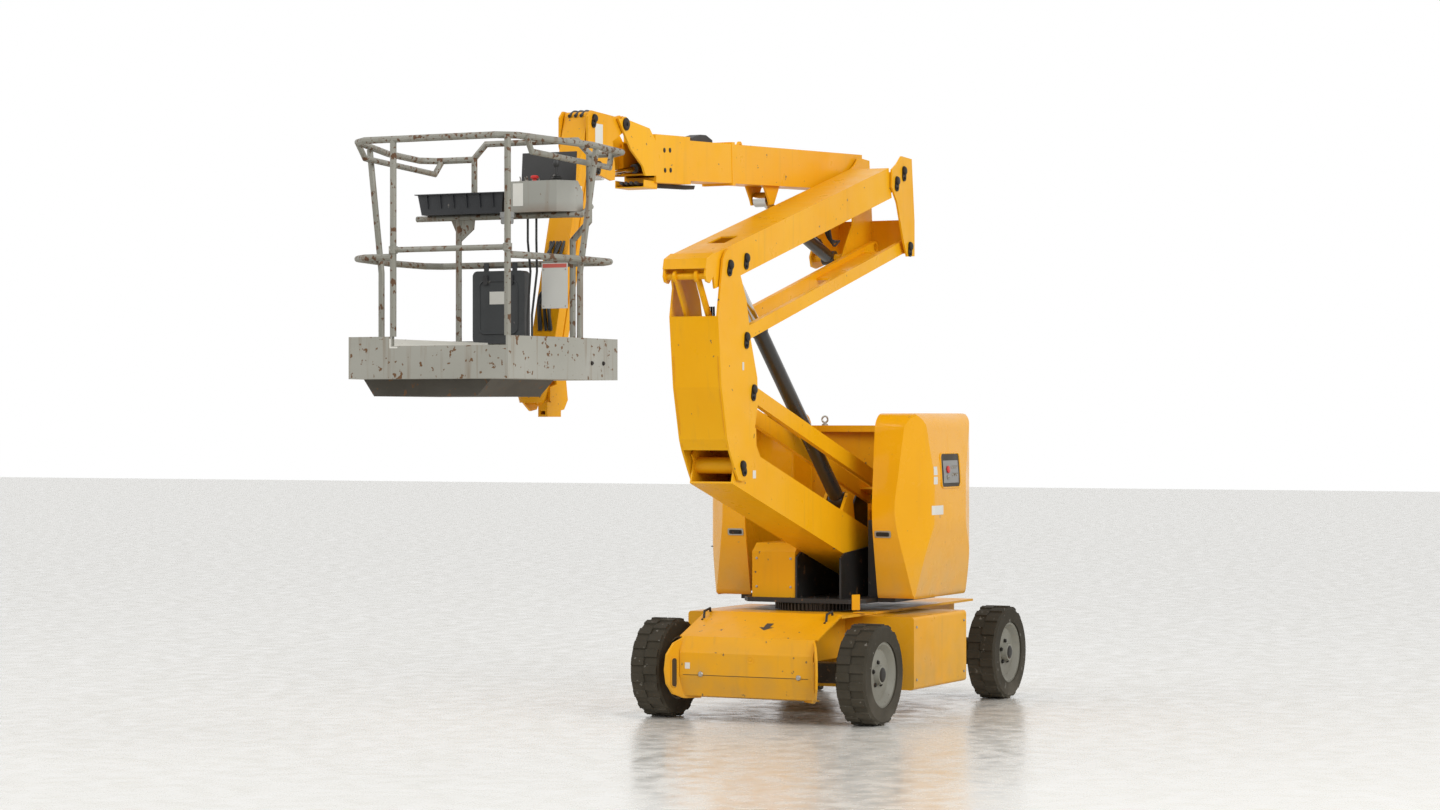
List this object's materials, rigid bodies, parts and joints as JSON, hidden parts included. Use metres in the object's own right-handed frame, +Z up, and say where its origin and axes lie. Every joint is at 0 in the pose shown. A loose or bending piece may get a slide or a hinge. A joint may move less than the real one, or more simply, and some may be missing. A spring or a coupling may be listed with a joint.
{
  "type": "articulating boom lift",
  "caption": "Self-propelled electric articulating boom lift: two stacked arms, a telescopic boom, a jib and a railed work basket on a slewing turret over four solid-tyred wheels.",
  "frame": {"origin": "floor level under the middle of the machine's footprint, between the rear tyres' rear and the basket's front", "axes": "+X towards the chassis front and the basket, +Y to the machine's left, +Z up"},
  "size_m": [5.835, 1.5, 3.4099],
  "materials": {
    "yellow_paint": "semi-gloss",
    "black_paint": "satin",
    "grey_paint": "worn satin",
    "rim_paint": "satin",
    "tyre_rubber": "matte",
    "bright_rod": "polished",
    "sign_white": "satin",
    "battery_case": "matte"
  },
  "bodies": {
    "chassis": {"chassis_frame": "yellow_paint", "front_cover": "yellow_paint", "side_box_left": "yellow_paint", "side_box_right": "yellow_paint", "steer_axle": "black_paint", "drive_axle": "black_paint", "slew_gear": "black_paint", "grab_handle_left": "black_paint", "grab_handle_right": "black_paint"},
    "steer_left": {"knuckle_left": "black_paint"},
    "steer_right": {"knuckle_right": "black_paint"},
    "tie_rod": {"tie_rod": "black_paint"},
    "wheel_front_left": {"tyre_front_left": "tyre_rubber", "rim_front_left": "rim_paint"},
    "wheel_front_right": {"tyre_front_right": "tyre_rubber", "rim_front_right": "rim_paint"},
    "wheel_rear_left": {"tyre_rear_left": "tyre_rubber", "rim_rear_left": "rim_paint"},
    "wheel_rear_right": {"tyre_rear_right": "tyre_rubber", "rim_rear_right": "rim_paint"},
    "turret": {"turret_base": "black_paint", "counterweight": "yellow_paint", "inner_box": "yellow_paint", "battery_block": "battery_case"},
    "cover_left": {"cover_left": "yellow_paint"},
    "cover_right": {"cover_right": "yellow_paint"},
    "lower_arm": {"lower_arm": "yellow_paint"},
    "lower_link": {"lower_link": "yellow_paint"},
    "mast": {"mast": "yellow_paint"},
    "upper_arm": {"upper_arm": "yellow_paint"},
    "upper_link": {"upper_link": "yellow_paint"},
    "sync_link": {"sync_link": "yellow_paint"},
    "lift_barrel": {"lift_cylinder_barrel": "black_paint"},
    "lift_rod": {"lift_cylinder_rod": "bright_rod"},
    "carrier": {"carrier": "yellow_paint"},
    "boom": {"boom_outer": "yellow_paint"},
    "boom_barrel": {"boom_cylinder_barrel": "black_paint"},
    "boom_rod": {"boom_cylinder_rod": "bright_rod"},
    "fly": {"boom_fly": "yellow_paint"},
    "level_barrel": {"level_cylinder_barrel": "black_paint"},
    "level_rod": {"level_cylinder_rod": "bright_rod"},
    "level_bracket": {"level_bracket": "yellow_paint"},
    "jib": {"jib_beam": "yellow_paint"},
    "jib_link": {"jib_link": "yellow_paint"},
    "basket_support": {"basket_support": "yellow_paint"},
    "basket": {"basket_floor": "grey_paint", "basket_rails": "grey_paint", "tool_tray": "black_paint", "control_box": "grey_paint", "document_box": "grey_paint", "floor_pan": "grey_paint", "control_lid": "black_paint", "sign_plate": "sign_white", "control_cable_left": "tyre_rubber", "control_cable_right": "tyre_rubber"},
    "gate_bar": {"gate_bar": "grey_paint"}
  },
  "joints": [
    {"name": "steer_left", "type": "hinge", "parent": "chassis", "child": "steer_left", "pos_m": [-0.62497, 0.6, 0.29], "axis": [0, 0, 1], "range_deg": [-35, 35]},
    {"name": "steer_right", "type": "hinge", "parent": "chassis", "child": "steer_right", "pos_m": [-0.62497, -0.6, 0.29], "axis": [0, 0, 1], "range_deg": [-35, 35]},
    {"name": "tie_rod_turn", "type": "hinge", "parent": "steer_left", "child": "tie_rod", "pos_m": [-0.74497, 0.6, 0.27], "axis": [0, 0, 1], "range_deg": [-36, 36]},
    {"name": "wheel_front_left_spin", "type": "hinge", "parent": "steer_left", "child": "wheel_front_left", "pos_m": [-0.62497, 0.657, 0.29], "axis": [0, 1, 0], "continuous": true},
    {"name": "wheel_front_right_spin", "type": "hinge", "parent": "steer_right", "child": "wheel_front_right", "pos_m": [-0.62497, -0.657, 0.29], "axis": [0, 1, 0], "continuous": true},
    {"name": "wheel_rear_left_spin", "type": "hinge", "parent": "chassis", "child": "wheel_rear_left", "pos_m": [-2.62497, 0.657, 0.29], "axis": [0, 1, 0], "continuous": true},
    {"name": "wheel_rear_right_spin", "type": "hinge", "parent": "chassis", "child": "wheel_rear_right", "pos_m": [-2.62497, -0.657, 0.29], "axis": [0, 1, 0], "continuous": true},
    {"name": "slew", "type": "hinge", "parent": "chassis", "child": "turret", "pos_m": [-1.32497, 0, 0.65], "axis": [0, 0, 1], "range_deg": [-175, 175]},
    {"name": "riser_lift", "type": "hinge", "parent": "turret", "child": "lower_arm", "pos_m": [-1.96997, 0.11, 0.85], "axis": [0, -1, 0], "range_deg": [-17, 52]},
    {"name": "lower_link_turn", "type": "hinge", "parent": "turret", "child": "lower_link", "pos_m": [-2.11397, 0.11, 1.274], "axis": [0, -1, 0], "range_deg": [-18, 53]},
    {"name": "mast_turn", "type": "hinge", "parent": "lower_arm", "child": "mast", "pos_m": [0.22878, 0.11, 1.49713], "axis": [0, -1, 0], "range_deg": [-53, 18]},
    {"name": "upper_arm_turn", "type": "hinge", "parent": "mast", "child": "upper_arm", "pos_m": [0.38578, 0.11, 2.60613], "axis": [0, -1, 0], "range_deg": [-53, 18]},
    {"name": "upper_link_turn", "type": "hinge", "parent": "mast", "child": "upper_link", "pos_m": [0.17778, 0.11, 2.21213], "axis": [0, -1, 0], "range_deg": [-53, 18]},
    {"name": "sync_link_turn", "type": "hinge", "parent": "upper_arm", "child": "sync_link", "pos_m": [0.61578, 0.11, 2.53613], "axis": [0, -1, 0], "range_deg": [-18, 53]},
    {"name": "carrier_turn", "type": "hinge", "parent": "upper_arm", "child": "carrier", "pos_m": [-1.95393, 0.11, 3.22431], "axis": [0, -1, 0], "range_deg": [-18, 53]},
    {"name": "lift_barrel_turn", "type": "hinge", "parent": "lower_arm", "child": "lift_barrel", "pos_m": [-1.40497, 0.11, 1.267], "axis": [0, -1, 0], "range_deg": [-20.71, 7.44]},
    {"name": "lift_rod_slide", "type": "slide", "parent": "lift_barrel", "child": "lift_rod", "axis": [0.7442, 0, 0.6679], "range_m": [-0.2949, 0.8919]},
    {"name": "boom_lift", "type": "hinge", "parent": "carrier", "child": "boom", "pos_m": [-2.06493, -0.15, 3.29431], "axis": [0, -1, 0], "range_deg": [-2, 75]},
    {"name": "boom_barrel_turn", "type": "hinge", "parent": "carrier", "child": "boom_barrel", "pos_m": [-1.85493, -0.15, 2.75331], "axis": [0, -1, 0], "range_deg": [-2.65, 62.88]},
    {"name": "boom_rod_slide", "type": "slide", "parent": "boom_barrel", "child": "boom_rod", "axis": [0.9547, 0, 0.2976], "range_m": [-0.0235, 0.6988]},
    {"name": "boom_telescope", "type": "slide", "parent": "boom", "child": "fly", "axis": [0.9992, 0, -0.0401], "range_m": [0, 2]},
    {"name": "level_barrel_turn", "type": "hinge", "parent": "fly", "child": "level_barrel", "pos_m": [0.17486, -0.15, 3.21534], "axis": [0, -1, 0], "range_deg": [-1.01, 1.38]},
    {"name": "level_rod_slide", "type": "slide", "parent": "level_barrel", "child": "level_rod", "axis": [0.9876, 0, -0.157], "range_m": [-0.3794, 0.015]},
    {"name": "level_turn", "type": "hinge", "parent": "fly", "child": "level_bracket", "pos_m": [1.04086, -0.15, 3.34034], "axis": [0, -1, 0], "range_deg": [-76, 3]},
    {"name": "jib_lift", "type": "hinge", "parent": "level_bracket", "child": "jib", "pos_m": [1.36486, -0.15, 3.34534], "axis": [0, -1, 0], "range_deg": [0, 134]},
    {"name": "jib_link_turn", "type": "hinge", "parent": "level_bracket", "child": "jib_link", "pos_m": [1.31486, -0.15, 3.10034], "axis": [0, -1, 0], "range_deg": [-1, 135]},
    {"name": "basket_level", "type": "hinge", "parent": "jib", "child": "basket_support", "pos_m": [1.73597, -0.15, 2.10048], "axis": [0, -1, 0], "range_deg": [-135, 1]},
    {"name": "basket_rotate", "type": "hinge", "parent": "basket_support", "child": "basket", "pos_m": [1.86497, -0.15, 1.95248], "axis": [0, 0, 1], "range_deg": [-59, 66]},
    {"name": "gate_lift", "type": "slide", "parent": "basket", "child": "gate_bar", "axis": [0, 0, 1], "range_m": [0, 0.35]},
    {"name": "cover_left_open", "type": "hinge", "parent": "turret", "child": "cover_left", "pos_m": [-2.19697, 0.584, 1.34], "axis": [0, 0, 1], "range_deg": [0, 65]},
    {"name": "cover_right_open", "type": "hinge", "parent": "turret", "child": "cover_right", "pos_m": [-2.19697, -0.584, 1.34], "axis": [0, 0, 1], "range_deg": [-65, 0]}
  ],
  "couplings": [
    {"joint": "steer_right", "follows": "steer_left", "ratio": 1},
    {"joint": "tie_rod_turn", "follows": "steer_left", "ratio": -1},
    {"joint": "lower_link_turn", "follows": "riser_lift", "ratio": 1},
    {"joint": "mast_turn", "follows": "riser_lift", "ratio": -1},
    {"joint": "upper_arm_turn", "follows": "riser_lift", "ratio": -1},
    {"joint": "upper_link_turn", "follows": "riser_lift", "ratio": -1},
    {"joint": "sync_link_turn", "follows": "riser_lift", "ratio": 1},
    {"joint": "carrier_turn", "follows": "riser_lift", "ratio": 1},
    {"joint": "lift_barrel_turn", "follows": "riser_lift", "ratio": -0.37904},
    {"joint": "lift_rod_slide", "follows": "riser_lift", "m_per_rad": 0.97718},
    {"joint": "boom_barrel_turn", "follows": "boom_lift", "ratio": 0.825},
    {"joint": "boom_rod_slide", "follows": "boom_lift", "m_per_rad": 0.53},
    {"joint": "level_barrel_turn", "follows": "boom_lift", "ratio": 0.005},
    {"joint": "level_rod_slide", "follows": "boom_lift", "m_per_rad": -0.286},
    {"joint": "level_turn", "follows": "boom_lift", "ratio": -1},
    {"joint": "jib_link_turn", "follows": "jib_lift", "ratio": 1},
    {"joint": "basket_level", "follows": "jib_lift", "ratio": -1}
  ]
}
